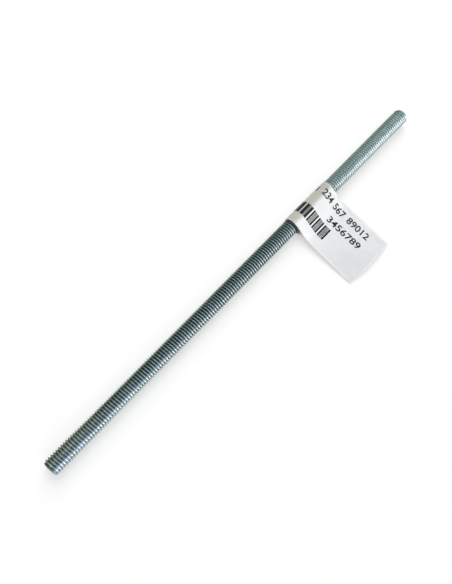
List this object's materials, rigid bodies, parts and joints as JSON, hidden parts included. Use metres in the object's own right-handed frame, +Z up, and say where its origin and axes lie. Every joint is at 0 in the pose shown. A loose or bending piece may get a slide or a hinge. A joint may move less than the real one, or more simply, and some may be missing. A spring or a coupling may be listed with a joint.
{
  "type": "threaded rod",
  "caption": "Straight steel rod with a right-hand metric thread from end to end, bevelled at both ends, with a folded paper flag label stuck round it.",
  "frame": {"origin": "centre of the near end face, on the rod's axis", "axes": "+X along the rod from the near end to the far end, +Z up from the surface that the rod lies on, the label's flag points towards -Y"},
  "size_m": [0.18, 0.0328, 0.0062],
  "materials": {
    "zinc_plate": "zinc plated, satin, slightly green grey",
    "label_paper": "smooth white label stock"
  },
  "bodies": {
    "root": {"threaded_rod": "zinc_plate", "paper_label": "label_paper"}
  },
  "joints": []
}
